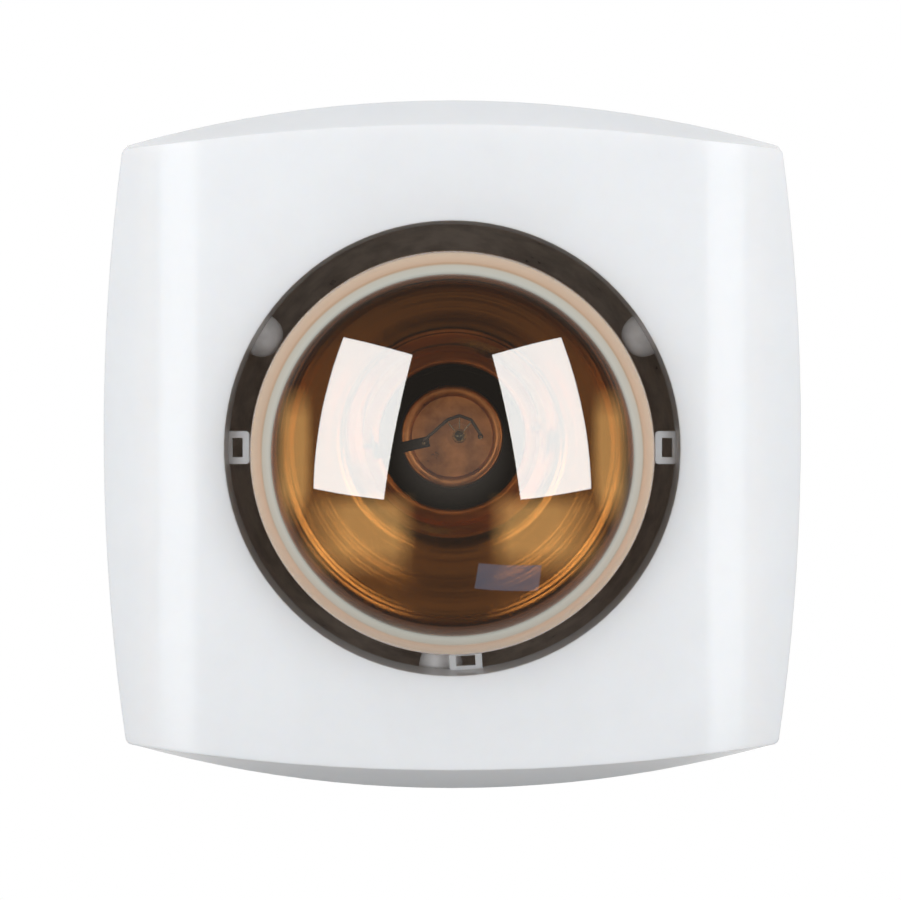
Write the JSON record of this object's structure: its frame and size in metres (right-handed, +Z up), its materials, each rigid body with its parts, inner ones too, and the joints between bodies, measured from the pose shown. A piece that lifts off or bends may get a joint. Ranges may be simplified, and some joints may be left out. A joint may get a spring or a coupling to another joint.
{
  "type": "bathroom heat lamp",
  "caption": "Wall-hung bathroom heat lamp: white moulded case, polished liner and one amber reflector bulb in a round opening.",
  "frame": {"origin": "centre of the wall face, on the axis of the bulb and of the opening", "axes": "+Y into the wall, so the lamp looks along -Y; +X to the right as seen from the front; +Z up"},
  "size_m": [0.222, 0.1963, 0.22],
  "materials": {
    "white_plastic": "gloss",
    "zinc_steel": "zinc plated",
    "polished_aluminium": "polished",
    "milky_silicone": "translucent",
    "zinc_sheet": "galvanised",
    "white_ceramic": "glazed",
    "cap_brass": "rolled",
    "spring_bronze": "stamped",
    "terminal_brass": "turned",
    "amber_glass": "clear amber front, gold mirror behind",
    "clear_glass": "clear",
    "coppered_steel": "copper coloured, heat stained",
    "nickel_wire": "drawn",
    "tungsten_wire": "coiled",
    "nickelled_brass": "nickel plated",
    "black_vitrite": "glassy",
    "soldered_contact": "tin solder",
    "black_phenolic": "moulded",
    "tinned_brass": "tinned",
    "white_nylon": "moulded",
    "brown_insulation": "silicone insulation",
    "red_insulation": "silicone insulation",
    "blue_insulation": "silicone insulation",
    "green_insulation": "green with a yellow stripe",
    "black_rubber": "moulded"
  },
  "bodies": {
    "housing": {"front_cover": "white_plastic", "rear_housing": "white_plastic", "cover_screws": "zinc_steel", "liner": "polished_aluminium", "liner_screws": "zinc_steel", "bumper_left": "milky_silicone", "bumper_right": "milky_silicone", "bumper_bottom": "milky_silicone", "holder_bracket": "zinc_sheet", "bracket_screws": "zinc_steel", "holder_body": "white_ceramic", "holder_screws": "zinc_steel", "holder_shell": "cap_brass", "holder_terminals": "terminal_brass", "holder_terminal_screws": "zinc_steel", "thermal_cutout": "black_phenolic", "cutout_tabs": "tinned_brass", "cutout_screws": "zinc_steel", "terminal_block": "white_nylon", "terminal_tubes": "terminal_brass", "terminal_screws": "zinc_steel", "terminal_block_screws": "zinc_steel", "earth_tag": "tinned_brass", "earth_screw": "terminal_brass", "live_wire": "brown_insulation", "switched_wire": "red_insulation", "neutral_wire": "blue_insulation", "earth_wire": "green_insulation", "cable_grommet": "black_rubber", "cord_clamp": "white_nylon", "cord_clamp_screws": "zinc_steel"},
    "contact": {"centre_contact": "spring_bronze"},
    "cap_carrier": {"cap_insulator": "black_vitrite"},
    "bulb": {"bulb_glass": "amber_glass", "glass_stem": "clear_glass", "heat_deflector": "coppered_steel", "lead_wires": "nickel_wire", "filament": "tungsten_wire", "filament_supports": "nickel_wire", "bulb_cap": "nickelled_brass", "cap_contact": "soldered_contact"}
  },
  "joints": [
    {"name": "contact_press", "type": "hinge", "parent": "housing", "child": "contact", "pos_m": [0, -0.0178, 0.009], "axis": [1, 0, 0], "range_deg": [0, 5], "stiffness_Nm_per_rad": 1, "springref_deg": -8.59},
    {"name": "lamp_travel", "type": "slide", "parent": "housing", "child": "cap_carrier", "axis": [0, -1, 0], "range_m": [0, 0.02]},
    {"name": "lamp_turn", "type": "hinge", "parent": "cap_carrier", "child": "bulb", "pos_m": [0, 0, 0], "axis": [0, -1, 0], "range_deg": [0, 1980]}
  ],
  "couplings": [
    {"joint": "lamp_travel", "follows": "lamp_turn", "m_per_rad": 0.0005775}
  ]
}
